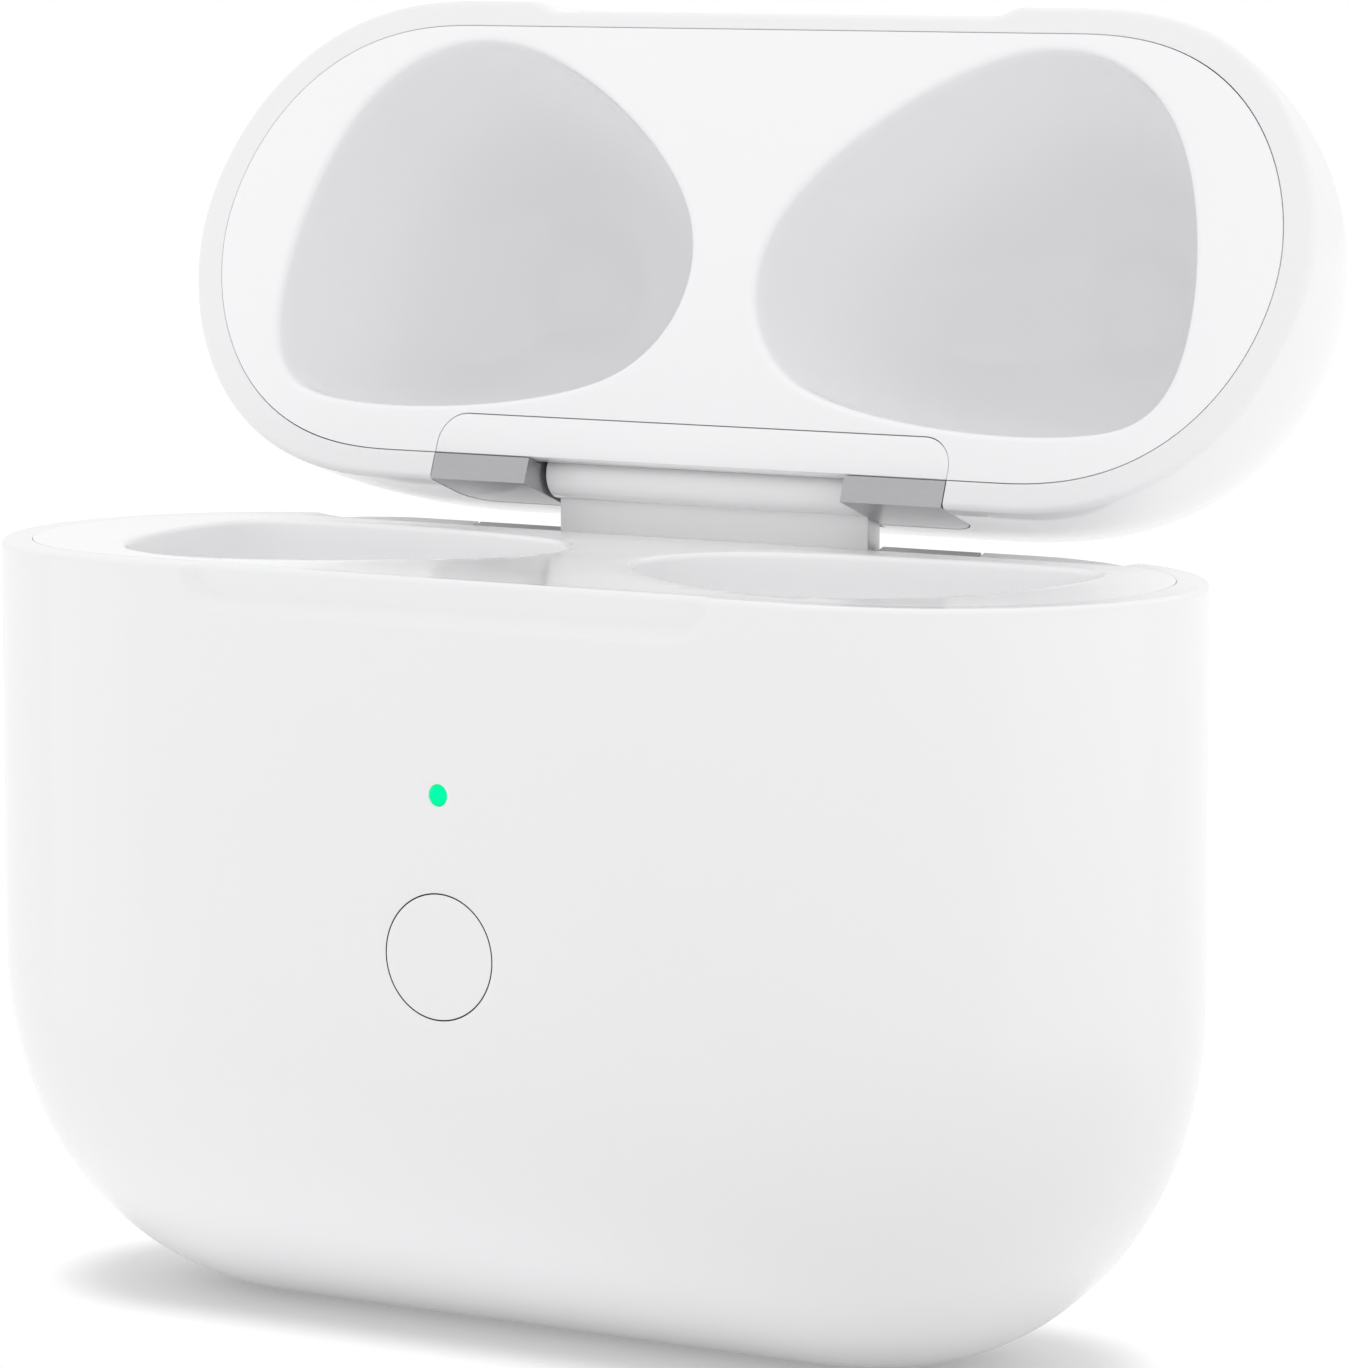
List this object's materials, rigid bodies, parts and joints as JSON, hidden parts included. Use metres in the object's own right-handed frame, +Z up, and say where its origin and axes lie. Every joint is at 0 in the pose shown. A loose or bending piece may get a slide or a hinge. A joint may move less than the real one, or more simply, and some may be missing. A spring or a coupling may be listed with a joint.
{
  "type": "wireless earbuds charging case",
  "caption": "Pebble-shaped white charging case for a pair of wireless earbuds, with a hinged lid, two lined wells, a status light and a round front button.",
  "frame": {"origin": "on the surface the case stands on, under the middle of the open case's bounding box", "axes": "+X across the case to the user's right, +Y from the front with the button to the hinge, +Z up"},
  "size_m": [0.0544, 0.036, 0.0535],
  "materials": {
    "shell": "glossy white moulded plastic",
    "liner": "satin white moulded plastic",
    "hinge_steel": "fine satin stainless steel",
    "spring_steel": "polished spring steel",
    "battery_foil": "pouch foil",
    "circuit_board": "solder mask",
    "port_steel": "drawn stainless steel",
    "black_plastic": "matte black",
    "led": "clear green light pipe",
    "copper": "enamelled copper winding",
    "ferrite": "flexible ferrite sheet",
    "magnet": "nickel-plated magnet",
    "contact_metal": "gold-plated brass"
  },
  "bodies": {
    "base": {"lower_shell": "shell", "inner_tray": "liner", "hinge_knuckle": "shell", "hinge_leaf": "hinge_steel", "battery_cell": "battery_foil", "battery_board": "circuit_board", "main_board": "circuit_board", "board_shield": "port_steel", "charge_chip": "black_plastic", "hall_sensor": "black_plastic", "led_emitter": "led", "led_lens": "led", "tact_switch": "port_steel", "charge_port_shell": "port_steel", "charge_port_tongue": "black_plastic", "charging_coil": "copper", "coil_ferrite": "ferrite", "base_magnet_left": "magnet", "base_magnet_right": "magnet", "bud_magnet_left": "magnet", "bud_magnet_right": "magnet", "counterweight_left": "port_steel", "counterweight_right": "port_steel", "contact_barrel_left_front": "contact_metal", "contact_barrel_left_rear": "contact_metal", "contact_barrel_right_front": "contact_metal", "contact_barrel_right_rear": "contact_metal"},
    "lid": {"lid_shell": "shell", "lid_liner": "liner", "hinge_cover": "shell", "hinge_bracket": "hinge_steel", "hinge_pin": "spring_steel", "detent_spring": "spring_steel", "lid_magnet_left": "magnet", "lid_magnet_right": "magnet", "sensor_magnet": "magnet"},
    "button": {"pair_button": "shell"},
    "plunger_left_front": {"contact_plunger_left_front": "contact_metal"},
    "plunger_left_rear": {"contact_plunger_left_rear": "contact_metal"},
    "plunger_right_front": {"contact_plunger_right_front": "contact_metal"},
    "plunger_right_rear": {"contact_plunger_right_rear": "contact_metal"}
  },
  "joints": [
    {"name": "lid_hinge", "type": "hinge", "parent": "base", "child": "lid", "pos_m": [0, 0.00221, 0.03372], "axis": [1, 0, 0], "range_deg": [0, 110.3]},
    {"name": "button_press", "type": "slide", "parent": "base", "child": "button", "axis": [0, 1, 0], "range_m": [0, 0.00025], "stiffness_N_per_m": 1500, "springref_m": -0.0006},
    {"name": "contact_left_front", "type": "slide", "parent": "base", "child": "plunger_left_front", "axis": [0, 0, -1], "range_m": [0, 0.0005], "stiffness_N_per_m": 300, "springref_m": -0.0005},
    {"name": "contact_left_rear", "type": "slide", "parent": "base", "child": "plunger_left_rear", "axis": [0, 0, -1], "range_m": [0, 0.0005], "stiffness_N_per_m": 300, "springref_m": -0.0005},
    {"name": "contact_right_front", "type": "slide", "parent": "base", "child": "plunger_right_front", "axis": [0, 0, -1], "range_m": [0, 0.0005], "stiffness_N_per_m": 300, "springref_m": -0.0005},
    {"name": "contact_right_rear", "type": "slide", "parent": "base", "child": "plunger_right_rear", "axis": [0, 0, -1], "range_m": [0, 0.0005], "stiffness_N_per_m": 300, "springref_m": -0.0005}
  ]
}
